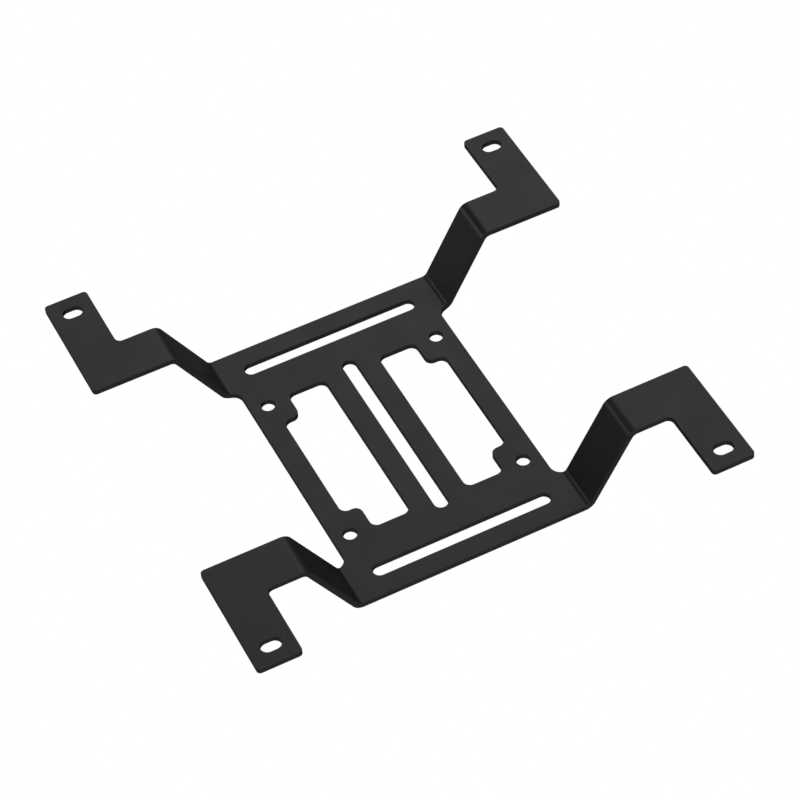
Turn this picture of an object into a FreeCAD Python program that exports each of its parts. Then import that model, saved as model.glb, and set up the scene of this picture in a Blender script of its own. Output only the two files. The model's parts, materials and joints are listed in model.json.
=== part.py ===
import FreeCAD, Part

import math
import os

from FreeCAD import Vector

# A reservoir bracket: one steel sheet, cut to outline, punched and folded. A slotted centre plate
# carries the pump or reservoir, four sloping arms lift off its corners, and four L-shaped feet screw
# to the corner holes of a fan or radiator.
# Millimetres. X runs across the plate towards the arms, Y along the plate and Z up. The origin is on
# the plate's underside at its middle, and the bracket is alike on both sides of X = 0 and of Y = 0.

# Sheet and folds. Widths and thicknesses are those of the bare steel, and radii those of the coat.
SHEET = 1.5           # thickness
COAT = 0.07           # powder coat on every face, which narrows each opening from all sides
BEND_RADIUS = 1.75    # inside of every fold
FOLD_ANGLE = 60.0     # slope of the arms, degrees
RISE = 21.4           # from the plate up to the feet
EDGE_BREAK = 0.1      # width that deburring takes off every cut edge

# Feet: an arm's end turned outwards along Y into a leg, with one slot in it
FOOT_PITCH = 125.0    # square on which the four foot slots are centred
LEG_WIDTH = 12.0      # the slot lies in the middle of it
SLOT_TO_TIP = 5.5     # from a foot slot's centre to the end of its leg
FOOT_SLOT_WIDTH = 3.9
FOOT_SLOT_SHIFT = 1.7     # between the centres of its two round ends
FOOT_CORNER = 1.1     # outer corners of the feet
LEG_CORNER = 1.7      # inner corner between arm and leg

# Centre plate
PUMP_PITCH = 50.0     # square of the four round holes
PUMP_HOLE = 3.9       # their diameter
HOLE_TO_SIDE = 4.8    # from a round hole's centre to the plate's side
RAIL_SLOT_PITCH = 78.1    # between the two long slots that run across the plate
RAIL_SLOT_SHIFT = 46.8    # between the centres of their round ends
SLOT_TO_END = 7.55    # from a long slot's middle line to the plate's end
CENTRE_SLOT_SHIFT = 53.9  # between the centres of the middle slot's round ends
SLOT_WIDTH = 4.0      # of the two long slots and of the middle slot
ARM_WIDTH = 12.8
RELIEF_RADIUS = 3.1   # where an arm's inner edge runs into the plate's side
FOLD_SETBACK = 2.73   # from the plate's coated side out to the corner line of the lower fold

# Windows: one each side of the middle slot, narrower at both ends to leave room for the round holes
STRIP = 5.95          # sheet left between a window and the middle slot
SIDE_RAIL = 5.9       # sheet left between a window and the plate's side
LOBE_ACROSS = 6.05    # from a round hole's centre to the window, along X
LOBE_ALONG = 7.1      # and along Y
WINDOW_NECK = 8.1     # how far the narrow ends run on past the wide part
WINDOW_CORNER = 2.1

SPARE = 5.0           # how far a cutting tool runs past what it cuts

# Places that follow from the sizes above, all on the surface of the coat
thickness = SHEET + 2 * COAT
plate_x = PUMP_PITCH / 2 + HOLE_TO_SIDE + COAT
plate_y = RAIL_SLOT_PITCH / 2 + SLOT_TO_END + COAT
foot_x = (FOOT_PITCH + LEG_WIDTH) / 2 + COAT
foot_y = FOOT_PITCH / 2 + SLOT_TO_TIP + COAT
leg_x = (FOOT_PITCH - LEG_WIDTH) / 2 - COAT
arm_y = plate_y - ARM_WIDTH - 2 * COAT
slope = math.radians(FOLD_ANGLE)
lower_fold_x = plate_x + FOLD_SETBACK
upper_fold_x = lower_fold_x + RISE / math.tan(slope)
top_z = RISE + thickness


def plan(x, y):
    return Vector(x, y, 0)


def side(x, z):
    return Vector(x, 0, z)


def across_x(point):
    return Vector(-point.x, point.y, point.z)


def across_y(point):
    return Vector(point.x, -point.y, point.z)


def with_mirror(corners, mirror):
    """The corners, then their mirror images in reverse, so that a half outline becomes a whole one."""
    return corners + [(mirror(point), radius) for point, radius in reversed(corners)]


def rounded_wire(corners):
    """Closed outline of straight runs, where each corner is a tangent arc of its own radius."""
    arcs = []
    for index, (corner, radius) in enumerate(corners):
        back = (corners[index - 1][0] - corner).normalize()
        ahead = (corners[(index + 1) % len(corners)][0] - corner).normalize()
        half = back.getAngle(ahead) / 2
        reach = radius / math.tan(half)
        depth = radius / math.sin(half) - radius
        middle = corner + (back + ahead).normalize() * depth
        arcs.append((corner + back * reach, middle, corner + ahead * reach))
    edges = []
    for index, (start, middle, end) in enumerate(arcs):
        following = arcs[(index + 1) % len(arcs)][0]
        if start.distanceToPoint(end) > 1e-6:
            edges.append(Part.Arc(start, middle, end).toShape())
        if end.distanceToPoint(following) > 1e-6:
            edges.append(Part.LineSegment(end, following).toShape())
    return Part.Wire(edges)


def folded_strip():
    """The side view of the bends, drawn along Y: plate, two sloping walls and two raised flats."""
    shift = thickness * math.tan(slope / 2)     # the underside's fold lines lie this much further out
    outer = BEND_RADIUS + thickness
    end_x = foot_x + SPARE
    half = [
        (side(lower_fold_x, thickness), BEND_RADIUS),
        (side(upper_fold_x, top_z), outer),
        (side(end_x, top_z), 0),
        (side(end_x, RISE), 0),
        (side(upper_fold_x + shift, RISE), BEND_RADIUS),
        (side(lower_fold_x + shift, 0), outer),
    ]
    face = Part.Face(rounded_wire(with_mirror(half, across_x)))
    depth = foot_y + SPARE
    face.translate(Vector(0, -depth, 0))
    return face.extrude(Vector(0, 2 * depth, 0))


def prism(corners):
    """An upright tool of this plan outline, past the bracket above and below."""
    face = Part.Face(rounded_wire(corners))
    face.translate(Vector(0, 0, -SPARE))
    return face.extrude(Vector(0, 0, top_z + 2 * SPARE))


def blank():
    """The outline seen from above: plate, arms and L-shaped feet, one quarter drawn and mirrored."""
    quarter = [
        (plan(leg_x, plate_y), LEG_CORNER),
        (plan(leg_x, foot_y), FOOT_CORNER),
        (plan(foot_x, foot_y), FOOT_CORNER),
        (plan(foot_x, arm_y), FOOT_CORNER),
        (plan(plate_x, arm_y), RELIEF_RADIUS),
    ]
    return prism(with_mirror(with_mirror(quarter, across_y), across_x))


def window():
    """The right-hand window, stepped at both ends around the round holes."""
    inner_x = SLOT_WIDTH / 2 + STRIP + COAT
    outer_x = plate_x - SIDE_RAIL - 2 * COAT
    lobe_x = PUMP_PITCH / 2 - LOBE_ACROSS - COAT
    lobe_y = PUMP_PITCH / 2 - LOBE_ALONG - COAT
    end_y = lobe_y + WINDOW_NECK
    radius = min(WINDOW_CORNER, 0.49 * (outer_x - lobe_x), 0.49 * WINDOW_NECK)
    half = [
        (plan(inner_x, end_y), radius),
        (plan(lobe_x, end_y), radius),
        (plan(lobe_x, lobe_y), radius),
        (plan(outer_x, lobe_y), radius),
    ]
    return prism(with_mirror(half, across_y))


def slot(centre, shift, width):
    """A slot punched this wide, with round ends whose centres lie shift apart, then coated."""
    radius = width / 2 - COAT
    half_run = shift * 0.5 + Vector(radius, radius, 0)
    quarter = [(plan(half_run.x, half_run.y), radius)]
    tool = prism(with_mirror(with_mirror(quarter, across_y), across_x))
    tool.translate(centre)
    return tool


def round_hole(centre, diameter):
    """A hole punched to this diameter, then coated."""
    return Part.makeCylinder(diameter / 2 - COAT, top_z + 2 * SPARE, centre - Vector(0, 0, SPARE))


def square(pitch):
    """The four corners of a square about the origin."""
    return [plan(x * pitch / 2, y * pitch / 2) for x in (-1, 1) for y in (-1, 1)]


def openings():
    """Everything punched through the sheet."""
    tools = [window(), window().mirror(Vector(), Vector(1, 0, 0))]
    tools.append(slot(Vector(), Vector(0, CENTRE_SLOT_SHIFT, 0), SLOT_WIDTH))
    for y in (-RAIL_SLOT_PITCH / 2, RAIL_SLOT_PITCH / 2):
        tools.append(slot(plan(0, y), Vector(RAIL_SLOT_SHIFT, 0, 0), SLOT_WIDTH))
    for centre in square(PUMP_PITCH):
        tools.append(round_hole(centre, PUMP_HOLE))
    for centre in square(FOOT_PITCH):
        tools.append(slot(centre, Vector(FOOT_SLOT_SHIFT, 0, 0), FOOT_SLOT_WIDTH))
    return tools


def cut_edges(solid):
    """Every edge where a cut wall meets a face of the sheet. Seams between tangent faces stay out."""
    found = []
    for edge in solid.Edges:
        faces = solid.ancestorsOfType(edge, Part.Face)
        point = edge.valueAt((edge.FirstParameter + edge.LastParameter) / 2)
        normals = [face.normalAt(*face.Surface.parameter(point)) for face in faces]
        if len(normals) == 2 and normals[0].getAngle(normals[1]) > slope / 2:
            found.append(edge)
    return found


sharp = folded_strip().common(blank()).cut(openings()).Solids[0]
edges = cut_edges(sharp)
bracket = sharp.makeChamfer(min(EDGE_BREAK, thickness / 4), edges).Solids[0]

os.makedirs("parts", exist_ok=True)
bracket.exportStep("parts/bracket.step")

box = bracket.optimalBoundingBox(False)
print(f"bracket {box.XLength:.2f} x {box.YLength:.2f} x {box.ZLength:.2f} mm")
print(f"volume {bracket.Volume / 1000:.3f} cm3, {len(bracket.Faces)} faces, {len(edges)} edges broken")
print("valid" if bracket.isValid() and len(bracket.Solids) == 1 else "not one valid solid")
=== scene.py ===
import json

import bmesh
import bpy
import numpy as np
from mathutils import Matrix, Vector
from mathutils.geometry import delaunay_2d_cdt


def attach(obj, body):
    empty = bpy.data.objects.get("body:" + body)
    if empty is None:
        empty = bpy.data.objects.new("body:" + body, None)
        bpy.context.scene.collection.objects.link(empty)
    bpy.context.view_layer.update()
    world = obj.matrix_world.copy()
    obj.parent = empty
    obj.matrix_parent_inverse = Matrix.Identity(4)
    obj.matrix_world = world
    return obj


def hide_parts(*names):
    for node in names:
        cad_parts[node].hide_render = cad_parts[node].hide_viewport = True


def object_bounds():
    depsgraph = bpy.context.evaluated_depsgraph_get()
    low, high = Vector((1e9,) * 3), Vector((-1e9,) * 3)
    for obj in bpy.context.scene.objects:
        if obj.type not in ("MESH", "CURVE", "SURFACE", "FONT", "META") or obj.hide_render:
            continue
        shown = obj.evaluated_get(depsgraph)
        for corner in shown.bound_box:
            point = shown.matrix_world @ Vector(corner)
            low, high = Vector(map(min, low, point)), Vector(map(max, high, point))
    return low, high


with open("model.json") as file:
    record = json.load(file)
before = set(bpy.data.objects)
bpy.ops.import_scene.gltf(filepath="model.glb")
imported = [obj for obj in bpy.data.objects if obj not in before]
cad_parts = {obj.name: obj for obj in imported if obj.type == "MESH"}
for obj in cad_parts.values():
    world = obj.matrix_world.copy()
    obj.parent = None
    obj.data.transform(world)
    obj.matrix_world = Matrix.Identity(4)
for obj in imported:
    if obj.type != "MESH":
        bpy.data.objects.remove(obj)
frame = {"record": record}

# %% [markdown]
# ## A reservoir bracket in black powder coat
# The object is one sheet of 1.5 mm steel. A machine cuts its outline and openings while it is flat,
# a press brake folds its four arms, and a booth sprays it with black powder that is baked hard.
# This lesson makes it in the same order: outline, openings, rounded edges, folds, coat. The frame
# gives the size of the part, and this script adds the form that light needs: folds as smooth arcs
# and edges as soft as the coat leaves them.

MM = 0.001
cad_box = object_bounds()
low, high = (np.array(corner) for corner in cad_box)
print("bracket, in mm:", np.round((high - low) / MM, 2))

# %% [markdown]
# ### Sizes
# What other things fasten to is written in the part's record, so the two screw squares, the hole
# sizes and the sheet's thickness are read from there. The overall size comes from the frame's box.
# The rest of the drawing is a short list of named sizes in millimetres. All of them are taken on the
# coat: it adds 0.07 mm to every face, so strips are a little wider than the steel and slots narrower.

# %% Sizes from the record and from the drawing
mounts = {mount["name"]: mount for mount in frame["record"]["mounts"]}
foot_slots = mounts["foot_slots"]["dims"]
pump_holes = mounts["pump_holes"]["dims"]

SHEET = mounts["pump_holes"]["pos_m"][2] / MM
FOOT_PITCH = foot_slots["spacing_x_mm"]
PUMP_PITCH = pump_holes["spacing_x_mm"]
RAIL_SLOT_Y = mounts["long_slot_back"]["pos_m"][1] / MM
RISE = high[2] / MM - SHEET
foot_x, foot_y = high[:2] / MM

LEG_WIDTH = 12.14                    # of a foot, from its outer side to its inner side
ARM_WIDTH = 12.94
PLATE_X, PLATE_Y = 29.87, 46.67      # half sizes of the centre plate
FOLD_SETBACK = 2.73                  # from the plate's side to the corner line of the lower fold
FOLD_ANGLE = np.radians(60)
BEND_RADIUS = 1.75                   # inside of a fold
FOOT_CORNER, LEG_CORNER = 1.1, 1.7   # outer corners of a foot and the corner inside it
RELIEF_RADIUS = 3.1                  # where an arm runs into the plate's side
SLOT_WIDTH = 3.86
RAIL_SLOT_LENGTH, CENTRE_SLOT_LENGTH = 50.66, 57.76
WINDOW_X = (8.02, 18.88, 23.83)      # middle side, side beside the holes, outer side
WINDOW_Y = (17.83, 25.93)            # end of the wide part, end of the window
WINDOW_CORNER = 2.1
print("sheet", round(SHEET, 3), "mm, rise", round(RISE, 3), "mm")

# %% [markdown]
# ### Flat first, folds later
# A folded sheet could be modelled folded, face by face. It is easier to draw it flat, because
# every hole is then a plane figure, and to let one formula fold it. The flat blank is longer than
# the folded part, so the feet are drawn further out by the stretch that the two folds take up.

# %% Where the folds lie on the flat blank
turn_out = np.tan(FOLD_ANGLE / 2)
neutral = BEND_RADIUS + SHEET / 2
lower_start = PLATE_X + FOLD_SETBACK - BEND_RADIUS * turn_out
slope_run = RISE / np.sin(FOLD_ANGLE) - (2 * BEND_RADIUS + SHEET) * turn_out
upper_start = lower_start + neutral * FOLD_ANGLE + slope_run
foot_start = upper_start + neutral * FOLD_ANGLE
folded_foot_start = (
    PLATE_X + FOLD_SETBACK + RISE / np.tan(FOLD_ANGLE) + (BEND_RADIUS + SHEET) * turn_out
)
stretch = foot_start - folded_foot_start
print("the flat blank is", round(2 * stretch, 2), "mm longer than the folded part")

# %% [markdown]
# ### Outlines
# Every outline of this sheet is straight runs joined by tangent arcs. So one function draws them
# all: each corner is one row of a grid, and the angle along its arc is the other parameter. The
# sheet always lies to the left of the path, which makes the outline run anticlockwise and the
# holes clockwise, and the outward direction is then the same formula everywhere.


# %% A closed outline with rounded corners
ARC_STEPS = 14                       # chords in each corner
SAME_POINT = 1e-6                    # two points nearer to each other than this are one


def rounded_outline(corners, radii):
    """Points and outward directions of a closed outline with arcs for corners.

    With unit vectors a and b from a corner to its neighbours and h half the angle between them,
    the arc's centre lies r / sin(h) from the corner along a + b, and the arc runs between the
    points r / tan(h) along a and along b.
    """
    corners = np.asarray(corners, float)
    radii = np.broadcast_to(radii, len(corners)).astype(float)[:, None]
    a = np.roll(corners, 1, axis=0) - corners
    b = np.roll(corners, -1, axis=0) - corners
    a /= np.linalg.norm(a, axis=1, keepdims=True)
    b /= np.linalg.norm(b, axis=1, keepdims=True)
    half = np.arccos((a * b).sum(1, keepdims=True)) / 2
    middle = (a + b) / np.linalg.norm(a + b, axis=1, keepdims=True)
    centre = corners + middle * radii / np.sin(half)
    first = corners + a * radii / np.tan(half) - centre
    last = corners + b * radii / np.tan(half) - centre
    start = np.arctan2(first[:, 1], first[:, 0])
    sweep = np.arctan2(last[:, 1], last[:, 0]) - start
    sweep = (sweep + np.pi) % (2 * np.pi) - np.pi
    angle = start[:, None] + sweep[:, None] * np.linspace(0, 1, ARC_STEPS + 1)
    radial = np.stack([np.cos(angle), np.sin(angle)], axis=-1)
    points = (centre[:, None] + radii[:, None] * radial).reshape(-1, 2)
    outward = (np.sign(sweep)[:, None, None] * radial).reshape(-1, 2)
    new = np.linalg.norm(points - np.roll(points, 1, axis=0), axis=1) > SAME_POINT
    return points[new], outward[new]


def mirrored(corners, radii, across):
    """The corners and radii, then their mirror images in reverse, which closes a symmetric outline."""
    flipped = np.asarray(corners, float)[::-1] * across
    return np.concatenate([corners, flipped]), np.concatenate([radii, radii[::-1]])


# %% [markdown]
# The blank's outline is one quarter with five corners, mirrored twice. Slots and round holes are
# rectangles whose corner radius is half their width, and a window is a stepped outline.


# %% The blank and its thirteen openings
def blank_outline():
    """Plate, arms and L-shaped feet, laid flat."""
    leg_x, tip_x = foot_x - LEG_WIDTH + stretch, foot_x + stretch
    arm_y = PLATE_Y - ARM_WIDTH
    quarter = [(leg_x, PLATE_Y), (leg_x, foot_y), (tip_x, foot_y), (tip_x, arm_y), (PLATE_X, arm_y)]
    radii = np.array([LEG_CORNER, FOOT_CORNER, FOOT_CORNER, FOOT_CORNER, RELIEF_RADIUS])
    corners, radii = mirrored(*mirrored(quarter, radii, (1, -1)), (-1, 1))
    return rounded_outline(corners[::-1], radii[::-1])


def slot_outline(x, y, length_x, length_y):
    """A slot with round ends about (x, y), or a round hole if both lengths are equal."""
    half_x, half_y = length_x / 2, length_y / 2
    corners = [(x + half_x, y + half_y), (x + half_x, y - half_y),
               (x - half_x, y - half_y), (x - half_x, y + half_y)]
    return rounded_outline(corners, min(half_x, half_y))


def window_outline(side):
    """A window, stepped round the screw holes. side is 1 for the right-hand one, -1 for the left."""
    inner, beside, outer = WINDOW_X
    step, end = WINDOW_Y
    half = [(inner, end), (beside, end), (beside, step), (outer, step)]
    corners, radii = mirrored(half, np.full(4, WINDOW_CORNER), (1, -1))
    corners = corners * (side, 1)
    return rounded_outline(corners[::side], radii)


def four_corners(half_x, half_y):
    """The corners of a rectangle about the origin."""
    return [(x, y) for x in (-half_x, half_x) for y in (-half_y, half_y)]


outlines = [blank_outline(), window_outline(1), window_outline(-1)]
outlines.append(slot_outline(0, 0, SLOT_WIDTH, CENTRE_SLOT_LENGTH))
outlines += [slot_outline(0, y, RAIL_SLOT_LENGTH, SLOT_WIDTH) for y in (-RAIL_SLOT_Y, RAIL_SLOT_Y)]
hole = 2 * pump_holes["hole_r_mm"]
outlines += [slot_outline(x, y, hole, hole) for x, y in four_corners(PUMP_PITCH / 2, PUMP_PITCH / 2)]
slot = foot_slots["slot_length_mm"], 2 * foot_slots["hole_r_mm"]
feet = four_corners(FOOT_PITCH / 2 + stretch, FOOT_PITCH / 2)
outlines += [slot_outline(x, y, *slot) for x, y in feet]
print(len(outlines), "outlines,", sum(len(points) for points, _ in outlines), "points")

# %% [markdown]
# ### Rounded edges
# Powder is drawn to an edge and flows back from it as it melts, so a coated edge is round, never
# sharp. The section of an edge is a quarter circle, a short straight wall and another quarter
# circle. Carried along an outline it is a grid: one parameter runs along the outline, and the
# other across the edge. Its first and last rows are the borders of the flat faces.

# %% The section of a coated edge
EDGE_RADIUS = 0.1
EDGE_STEPS = 5                       # chords in each quarter circle, 18 degrees each


def edge_section():
    """Inset from the outline, height, and the two parts of the normal, for each row of the section.

    At the angle t from straight up, a row lies r - r sin(t) inside the outline and r cos(t) above
    the centre of its arc. The upper arc runs from 0 to 90 degrees and the lower from 90 to 180.
    """
    upper = np.linspace(0, np.pi / 2, EDGE_STEPS + 1)
    angle = np.concatenate([upper, upper + np.pi / 2])
    centre = np.where(np.arange(len(angle)) <= EDGE_STEPS, SHEET - EDGE_RADIUS, EDGE_RADIUS)
    inset = EDGE_RADIUS * (1 - np.sin(angle))
    return inset, centre + EDGE_RADIUS * np.cos(angle), np.sin(angle), np.cos(angle)


def edge_band(points, outward):
    """The section carried along an outline: places and normals, each of shape (points, rows, 3)."""
    inset, height, sideways, upwards = edge_section()
    plane = points[:, None] - outward[:, None] * inset[:, None]
    places = np.dstack([plane, np.broadcast_to(height, plane.shape[:2])])
    tilt = outward[:, None] * sideways[:, None]
    return places, np.dstack([tilt, np.broadcast_to(upwards, tilt.shape[:2])])


def band_faces(count, rows, first):
    """The quads of a band that closes on itself, facing outwards."""
    here = np.arange(count)[:, None] * rows + np.arange(rows - 1)
    ahead = np.roll(here, -1, axis=0)
    return first + np.stack([here, here + 1, ahead + 1, ahead], axis=-1).reshape(-1, 4)


# %% [markdown]
# ### Flat faces with holes
# A face with thirteen holes isn't a grid. A constrained triangulation fills the whole figure, and
# the triangles that lie in a hole are dropped by counting how many outline edges a ray from their
# middle crosses: an odd count means sheet, an even one means air.


# %% Triangles between the outlines
WHOLE_HULL = 0                       # the triangulation's way to fill: everything inside the hull


def sheet_triangles(rims):
    """Triangles that fill the sheet between closed rims, as indices into the rims' joined points."""
    joined = np.concatenate(rims)
    counts = [len(rim) for rim in rims]
    starts = np.cumsum([0] + counts[:-1])
    edges = np.concatenate([
        start + np.stack([np.arange(n), np.roll(np.arange(n), -1)], axis=1)
        for start, n in zip(starts, counts)
    ])
    _, _, corners, sources, _, _ = delaunay_2d_cdt(
        [Vector(point) for point in joined], edges.tolist(), [], WHOLE_HULL, SAME_POINT, True
    )
    triangles = np.array([source[0] for source in sources])[np.array(corners)]
    middle = joined[triangles].mean(axis=1)
    one, two = joined[edges[:, 0]], joined[edges[:, 1]]
    spans = (one[:, 1] > middle[:, None, 1]) != (two[:, 1] > middle[:, None, 1])
    with np.errstate(divide="ignore", invalid="ignore"):
        share = (middle[:, None, 1] - one[:, 1]) / (two[:, 1] - one[:, 1])
    crossing = spans & (middle[:, None, 0] < one[:, 0] + share * (two[:, 0] - one[:, 0]))
    return triangles[crossing.sum(axis=1) % 2 == 1]


# %% The flat blank as one closed mesh
def flat_blank():
    """Places, flat normals and faces of the whole blank: bands on every outline, then both faces."""
    bands = [edge_band(points, outward) for points, outward in outlines]
    rows = bands[0][0].shape[1]
    counts = np.array([len(places) for places, _ in bands])
    starts = np.concatenate([[0], np.cumsum(counts * rows)[:-1]])
    quads = [band_faces(n, rows, first) for n, first in zip(counts, starts)]
    top = np.concatenate([first + np.arange(n) * rows for n, first in zip(counts, starts)])
    triangles = sheet_triangles([places[:, 0, :2] for places, _ in bands])
    places = np.concatenate([places.reshape(-1, 3) for places, _ in bands])
    normals = np.concatenate([normals.reshape(-1, 3) for _, normals in bands])
    faces = np.concatenate(quads).tolist()
    faces += top[triangles].tolist() + (top[triangles] + rows - 1)[:, ::-1].tolist()
    return places, normals, faces


# %% [markdown]
# ### Folding
# A press brake does one fold at a time, and so does the formula. Beyond the fold line the sheet
# winds round a cylinder for as long as its neutral fibre needs, then goes on straight. The upper
# fold comes first, while the arm is still flat, and the lower fold then lifts all of it. The same
# turn is given to the normals, so that the faces stay perfectly flat to the light.


# %% Fold a sheet about a cylinder
def fold(places, normals, start, centre):
    """Winds what lies beyond |x| = start round a cylinder whose axis is at height centre.

    With d the height above the axis, n the neutral radius and t = (|x| - start) / n, kept between
    0 and the fold's angle, a point goes to x = start - d sin(t) + rest cos(t) and
    z = centre + d cos(t) + rest sin(t), where rest is what is left of |x| after the arc. A centre
    under the sheet turns the other way.
    """
    side, along = np.sign(places[:, 0]), np.abs(places[:, 0]) - start
    radius = abs(centre - SHEET / 2)
    angle = np.clip(along / radius, 0, FOLD_ANGLE)
    rest = np.maximum(along - radius * FOLD_ANGLE, 0)
    turn = np.sign(centre - SHEET / 2) * angle
    height = places[:, 2] - centre
    x = start + np.minimum(along, 0) - height * np.sin(turn) + rest * np.cos(turn)
    z = centre + height * np.cos(turn) + rest * np.sin(turn)
    across, up = normals[:, 0] * side, normals[:, 2]
    turned = np.stack([
        side * (across * np.cos(turn) - up * np.sin(turn)),
        normals[:, 1],
        across * np.sin(turn) + up * np.cos(turn),
    ], axis=1)
    return np.stack([side * x, places[:, 1], z], axis=1), turned


# %% [markdown]
# The arms' long faces have no points in the middle of a fold, so before folding, the flat mesh is
# scribed: it is cut along evenly spaced lines across each fold, which become the ruled lines of
# the finished arc. The flat normals ride along as a point attribute, so the new points get theirs.

# %% Scribe, fold and finish the mesh
FOLD_STRIPS = 20                     # of 3 degrees, in each fold
ON_LINE = 1e-5                       # a point nearer to a line than this lies on it


def scribe(mesh):
    """Cuts the flat mesh along the lines of both folds, on both sides of the middle."""
    work = bmesh.new()
    work.from_mesh(mesh)
    lines = np.linspace(0, neutral * FOLD_ANGLE, FOLD_STRIPS + 1)
    lines = np.concatenate([lower_start + lines, upper_start + lines])
    for x in np.concatenate([-lines, lines]).tolist():
        bmesh.ops.bisect_plane(
            work, geom=work.verts[:] + work.edges[:] + work.faces[:],
            dist=ON_LINE, plane_co=(x, 0, 0), plane_no=(1, 0, 0),
        )
    work.to_mesh(mesh)
    work.free()


def read_points(collection, name):
    """One vector for each item of a mesh's collection, as rows of three."""
    values = np.empty(len(collection) * 3, np.float32)
    collection.foreach_get(name, values)
    return values.reshape(-1, 3).astype(float)


def folded_sheet(name):
    """The finished bracket: flat blank, scribed, folded at the top and then at the plate."""
    places, normals, faces = flat_blank()
    mesh = bpy.data.meshes.new(name)
    mesh.from_pydata(places, [], faces)
    flat = mesh.attributes.new("flat_normal", "FLOAT_VECTOR", "POINT")
    flat.data.foreach_set("vector", normals.astype(np.float32).ravel())
    scribe(mesh)
    places = read_points(mesh.vertices, "co")
    normals = read_points(mesh.attributes["flat_normal"].data, "vector")
    mesh.attributes.remove(mesh.attributes["flat_normal"])
    places, normals = fold(places, normals, upper_start, -BEND_RADIUS)
    places, normals = fold(places, normals, lower_start, SHEET + BEND_RADIUS)
    mesh.vertices.foreach_set("co", (places * MM).astype(np.float32).ravel())
    normals /= np.linalg.norm(normals, axis=1, keepdims=True)
    mesh.update()
    mesh.shade_smooth()
    mesh.normals_split_custom_set_from_vertices(normals.tolist())
    piece = bpy.data.objects.new(name, mesh)
    bpy.context.scene.collection.objects.link(piece)
    return piece


bracket = folded_sheet("powder_coated_bracket")
print("mesh:", len(bracket.data.vertices), "points,", len(bracket.data.polygons), "faces")

# %% [markdown]
# The new mesh has to be closed and as large as the part it stands for, so both are measured: the
# number of open edges, and the volume by adding up the tetrahedra from the origin to each face.


# %% Measure the mesh
CUBIC_CM = 1e-6                      # in cubic metres


def measure(mesh):
    """Open edges and volume in cubic centimetres."""
    work = bmesh.new()
    work.from_mesh(mesh)
    open_edges = sum(not edge.is_manifold for edge in work.edges)
    volume = work.calc_volume(signed=True)
    work.free()
    return open_edges, volume / CUBIC_CM


open_edges, volume = measure(bracket.data)
print("open edges:", open_edges, "and volume:", round(volume, 3), "cm3")
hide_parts("bracket")
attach(bracket, "root")

# %% [markdown]
# ### Black powder coat
# The finish is polyester powder, sprayed dry and baked to a skin about 0.07 mm thick. Black
# pigment swallows most of the light, so what the eye reads is the soft gloss of the resin: a
# matt, even sheen. Seen close, the skin has a faint orange peel from the grains that melted into it,
# and its gloss drifts a little from place to place with the thickness of the film. Peel and grain
# are bump, and the drift is roughness.


# %% Colours and nodes
def linear(code):
    """An sRGB hex colour as linear RGBA, by the curve of the sRGB standard."""
    srgb = np.array([int(code[i:i + 2], 16) for i in (1, 3, 5)]) / 255
    rgb = np.where(srgb <= 0.04045, srgb / 12.92, ((srgb + 0.055) / 1.055) ** 2.4)
    return (*rgb.tolist(), 1.0)


def node(tree, kind, settings=None, **links):
    """Adds a node, sets its properties and its inputs: a value is set, an output socket is linked."""
    made = tree.nodes.new(kind)
    for name, value in (settings or {}).items():
        setattr(made, name, value)
    for name, value in links.items():
        socket = made.inputs[name.replace("_", " ")]
        if isinstance(value, bpy.types.NodeSocket):
            tree.links.new(value, socket)
        else:
            socket.default_value = value
    return made


# %% The powder coat
PIGMENT = "#0E1513"
RESIN_IOR = 1.57
PEEL_SIZE, PEEL_DEPTH = 1.1 * MM, 0.004 * MM      # the orange peel, crest to crest and to valley
# Powder is ground to about 0.05 mm. The grain is drawn ten times as coarse, so that it shows.
GRAIN_SIZE, GRAIN_DEPTH = 0.5 * MM, 0.005 * MM
DRIFT_SIZE = 9 * MM                  # from one thick place of the film to the next
SMOOTH, DULL = 0.37, 0.43            # roughness of the thickest and of the thinnest film
NOISE_LOW, NOISE_HIGH = 0.3, 0.7     # nearly all values of a noise lie between them


def powder_coat():
    """Baked polyester powder: clear resin over black pigment, which gives a soft grey sheen."""
    material = bpy.data.materials.new("black_polyester_powder_coat")
    material.use_nodes = True
    tree = material.node_tree
    shader = tree.nodes["Principled BSDF"]
    place = node(tree, "ShaderNodeTexCoord").outputs["Object"]
    peel = node(tree, "ShaderNodeTexNoise", {"label": "Orange peel"},
                Vector=place, Scale=1 / PEEL_SIZE, Detail=2.0)
    grain = node(tree, "ShaderNodeTexNoise", {"label": "Grain"},
                 Vector=place, Scale=1 / GRAIN_SIZE, Detail=1.0)
    fine = node(tree, "ShaderNodeBump", Height=grain.outputs["Fac"], Strength=1.0,
                Distance=GRAIN_DEPTH)
    coarse = node(tree, "ShaderNodeBump", Height=peel.outputs["Fac"], Strength=1.0,
                  Distance=PEEL_DEPTH, Normal=fine.outputs["Normal"])
    drift = node(tree, "ShaderNodeTexNoise", {"label": "Thickness of the film"},
                 Vector=place, Scale=1 / DRIFT_SIZE, Detail=2.0)
    gloss = node(tree, "ShaderNodeMapRange", Value=drift.outputs["Fac"],
                 From_Min=NOISE_LOW, From_Max=NOISE_HIGH, To_Min=SMOOTH, To_Max=DULL)
    tree.links.new(coarse.outputs["Normal"], shader.inputs["Normal"])
    tree.links.new(gloss.outputs["Result"], shader.inputs["Roughness"])
    shader.inputs["Base Color"].default_value = linear(PIGMENT)
    shader.inputs["IOR"].default_value = RESIN_IOR
    return material


bracket.data.materials.append(powder_coat())
print("coat:", bracket.data.materials[0].name, "with roughness", SMOOTH, "to", DULL)

# %% [markdown]
# ### A light tent
# A black part on white is photographed in a tent: a pale table that rises all round into pale
# walls, and large soft lamps. The cloth is lit from behind, so it is one even white in the picture.
# The table lies a hair under the bracket, because two faces in one plane would flicker.

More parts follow.
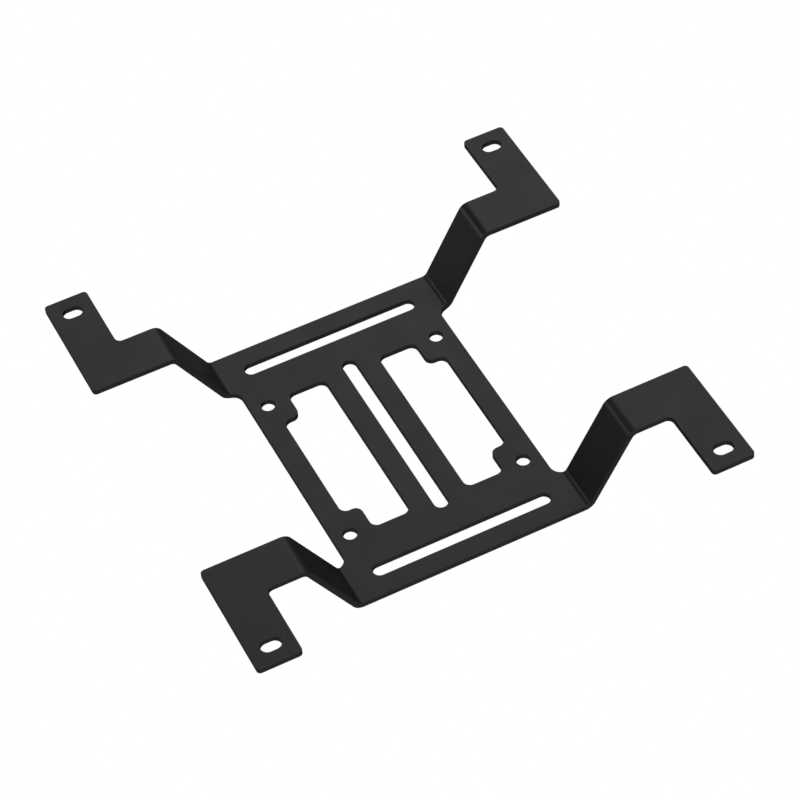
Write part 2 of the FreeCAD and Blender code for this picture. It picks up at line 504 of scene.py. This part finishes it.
# %% The tent
TENT_RADIUS, TENT_HEIGHT, TENT_CURVE = 2.6, 2.4, 0.8
TENT_HUB = 0.01                      # radius of the one flat face in the middle of the table
TENT_SIDES, CURVE_STEPS = 96, 16
TABLE_DROP = 0.3 * MM


def light_tent():
    """A round table that curves up into a wall: a profile of radius and height, turned about Z.

    The profile is a flat run, a quarter circle and a straight wall. At the angle t, a quarter
    circle of radius c that ends at the radius R is at R - c + c sin(t) and c - c cos(t) up.
    """
    angle = np.linspace(0, np.pi / 2, CURVE_STEPS + 1)
    curve = TENT_RADIUS - TENT_CURVE + TENT_CURVE * np.sin(angle)
    radius = np.concatenate([[TENT_HUB, TENT_RADIUS / 2], curve, [TENT_RADIUS]])
    height = np.concatenate([[0, 0], TENT_CURVE * (1 - np.cos(angle)), [TENT_HEIGHT]]) - TABLE_DROP
    turn = np.linspace(0, 2 * np.pi, TENT_SIDES, endpoint=False)
    ring = np.stack([np.cos(turn), np.sin(turn)], axis=-1)
    flat = radius[:, None, None] * ring
    places = np.dstack([flat, np.broadcast_to(height[:, None], flat.shape[:2])]).reshape(-1, 3)
    here = np.arange(len(radius) - 1)[:, None] * TENT_SIDES + np.arange(TENT_SIDES)
    beside = np.roll(here, -1, axis=1)
    outer = here + TENT_SIDES, beside + TENT_SIDES
    faces = np.stack([here, *outer, beside], axis=-1).reshape(-1, 4)
    mesh = bpy.data.meshes.new("light_tent")
    mesh.from_pydata(places, [], faces.tolist() + [list(range(TENT_SIDES))])
    mesh.shade_smooth()
    tent = bpy.data.objects.new("light_tent", mesh)
    bpy.context.scene.collection.objects.link(tent)
    return tent


def stage_cloth(name, glow):
    """Cloth that throws back no light and gives off an even white light of this strength."""
    material = bpy.data.materials.new(name)
    material.use_nodes = True
    shader = material.node_tree.nodes["Principled BSDF"]
    shader.inputs["Base Color"].default_value = linear("#000000")
    shader.inputs["Roughness"].default_value = 1.0
    shader.inputs["Specular IOR Level"].default_value = 0.0
    shader.inputs["Emission Color"].default_value = linear("#FFFFFF")
    shader.inputs["Emission Strength"].default_value = glow
    return material


# Only the camera sees the tent. The lamps and the world light the bracket.
tent = light_tent()
tent.data.materials.append(stage_cloth("white_tent_cloth", glow=1.0))
tent.visible_glossy = False
tent.visible_diffuse = False
tent.visible_shadow = False
print("tent:", len(tent.data.polygons), "faces")


# %% [markdown]
# ### Lamps
# A black coat hardly scatters light, so what the eye reads on it is the lamps that it mirrors. Seen
# from the camera, the plate and the feet mirror a point high behind the bracket, where the key lamp
# stands. The right-hand folds mirror a narrow strip lamp at the back left. The lamps overhead and at
# the front do the same for someone who looks from behind or from the side.


# %% Lamps
WARM, COOL = "#FFFDF2", "#F7FFFD"    # light of the two lamps behind, and all other light
BRACKET = (0.0, 0.0, 0.0)            # what the lamps aim at
SOFT_BOX = (1.2, 1.2)                # width and height of the two lamps that hang


def lamp(name, place, aim, size, radiance, colour):
    """A rectangular lamp at place, facing aim, of even radiance. The camera doesn't see it.

    A flat lamp of power p and area a has the radiance p / (pi a).
    """
    data = bpy.data.lights.new(name, "AREA")
    data.shape = "RECTANGLE"
    data.size, data.size_y = size
    data.energy = radiance * np.pi * size[0] * size[1]
    data.color = linear(colour)[:3]
    made = bpy.data.objects.new(name, data)
    bpy.context.scene.collection.objects.link(made)
    made.location = place
    made.rotation_euler = (Vector(aim) - Vector(place)).to_track_quat("-Z", "Y").to_euler()
    made.visible_camera = False
    return made


def panel(name, azimuth, distance, sides, heights, radiance):
    """An upright lamp facing the bracket.

    The azimuth counts in degrees from +Y towards +X, and the sides run from left to right.
    """
    turn = np.radians(azimuth)
    out = np.array([np.sin(turn), np.cos(turn), 0.0])
    along = np.array([np.cos(turn), -np.sin(turn), 0.0])
    height = np.mean(heights)
    place = out * distance + along * np.mean(sides) + (0, 0, height)
    size = np.ptp(sides), np.ptp(heights)
    return lamp(name, place.tolist(), (place - out).tolist(), size, radiance, WARM)


lamps = [
    panel("key", azimuth=30, distance=1.2, sides=(-0.665, 0.50), heights=(0.69, 1.83), radiance=1.015),
    panel("strip", azimuth=-50, distance=1.2, sides=(-0.035, 0.18), heights=(0.22, 0.715), radiance=2.78),
    lamp("overhead", (0.0, 0.0, 1.7), BRACKET, SOFT_BOX, radiance=0.54, colour=COOL),
    lamp("fill", (-0.5, -1.2, 1.5), BRACKET, SOFT_BOX, radiance=2.1, colour=COOL),
]
print("lamps, in watts:", {made.name: round(made.data.energy, 2) for made in lamps})

# %% [markdown]
# ### What glows between the lamps
# The walls of the folds look down at the table, which is white but not equally bright all round.
# The world holds that glow: one strength for each region of directions, with a soft ramp between
# them. The front and the left of the table are bright and its right is dim, as the photo's edges
# show. Seen from the camera, the plate, the arms and the folds mirror only directions whose Y is
# about 0.6. Where Y is under 0.1 or near 1, an even horizon serves those who look from elsewhere.

# %% The glow of the table and of the horizon
glow = {
    "front": 0.270, "left": 0.225, "right": 0.071,      # of the table
    "wall": 0.028, "corner": 0.15,      # behind the bracket, and low down at the back right
    "horizon": 0.20, "heights": 0.40,   # everywhere else, at the table's level and high up
}

# Each row blends two glows into a new one, which the later rows may use. The first of the two holds
# up to the lower limit of the direction's X, Y or Z, and the second from the upper limit on.
BLENDS = (
    # new glow, axis, lower limit, upper limit, first glow, second glow
    ("table", "X", -0.75, -0.35, "left", "right"),
    ("table", "Y", -0.55, -0.25, "front", "table"),
    ("corner", "Z", 0.30, 0.40, "corner", "wall"),
    ("wall", "X", 0.45, 0.60, "wall", "corner"),
    ("mirrored", "Z", -0.05, 0.05, "table", "wall"),
    ("around", "Z", 0.10, 0.60, "horizon", "heights"),
    ("around", "Z", -0.50, -0.30, "table", "around"),
    ("world", "Y", 0.10, 0.25, "around", "mirrored"),
    ("world", "Y", 0.85, 1.00, "world", "around"),
)

world = bpy.data.worlds.new("studio")
bpy.context.scene.world = world
world.use_nodes = True
tree = world.node_tree
direction = node(tree, "ShaderNodeTexCoord").outputs["Generated"]
split = node(tree, "ShaderNodeSeparateXYZ", Vector=direction).outputs
for new, axis, lower, upper, first, second in BLENDS:
    ramp = node(tree, "ShaderNodeMapRange", {"label": new}, Value=split[axis],
                From_Min=lower, From_Max=upper, To_Min=glow[first], To_Max=glow[second])
    glow[new] = ramp.outputs["Result"]
background = tree.nodes["Background"]
background.inputs["Color"].default_value = linear(COOL)
tree.links.new(glow["world"], background.inputs["Strength"])
print("world:", len(BLENDS), "ramps between its regions")

# %% [markdown]
# The front left arm looks across the plate at a part of the table that lies in the bracket's own
# shade. The glow of the world knows no shade, so a black card that only mirrors see stands in for it.


# %% The bracket's own shade, as a black card
CARD_X, CARD_Y, CARD_Z = (0.0, 0.14), (-0.03, 0.115), -0.1


def shade_card():
    """A level rectangle between the card's sides, facing up."""
    corners = [(CARD_X[i], CARD_Y[j], CARD_Z) for i, j in ((0, 0), (1, 0), (1, 1), (0, 1))]
    mesh = bpy.data.meshes.new("shade_card")
    mesh.from_pydata(corners, [], [(0, 1, 2, 3)])
    mesh.materials.append(stage_cloth("black_card", glow=0.0))
    made = bpy.data.objects.new("shade_card", mesh)
    bpy.context.scene.collection.objects.link(made)
    return made


card = shade_card()
card.visible_camera = False
card.visible_diffuse = False
card.visible_shadow = False
print("shade card, in mm:", np.round([np.ptp(CARD_X) / MM, np.ptp(CARD_Y) / MM]))

# %% [markdown]
# ### Camera
# The camera looks down on the bracket from its front left, from about 0.8 m away with a long
# lens, so that parallel edges stay nearly parallel. It is tipped a few degrees about its own axis.

# %% The camera
CAMERA_PLACE = np.array((-197.721, -488.020, 610.298)) * MM
AIM = np.array((6.902, 10.672, 0.0)) * MM
ROLL = np.radians(-5.5454)
LENS, SENSOR_WIDTH = 138.129, 36.0   # millimetres, as a photographer counts them
NEAR, FAR = 0.01, 20.0               # of what the camera sees

camera = bpy.data.objects.new("camera", bpy.data.cameras.new("camera"))
bpy.context.scene.collection.objects.link(camera)
camera.data.lens = LENS
camera.data.sensor_width = SENSOR_WIDTH
look = Vector(AIM - CAMERA_PLACE).to_track_quat("-Z", "Y").to_matrix()
look = look @ Matrix.Rotation(ROLL, 3, "Z")
camera.matrix_world = Matrix.Translation(CAMERA_PLACE) @ look.to_4x4()
camera.data.clip_start, camera.data.clip_end = NEAR, FAR
bpy.context.scene.camera = camera
bpy.context.scene.view_settings.view_transform = "Standard"
print("camera:", round(float(np.linalg.norm(AIM - CAMERA_PLACE)), 3), "m from what it looks at")
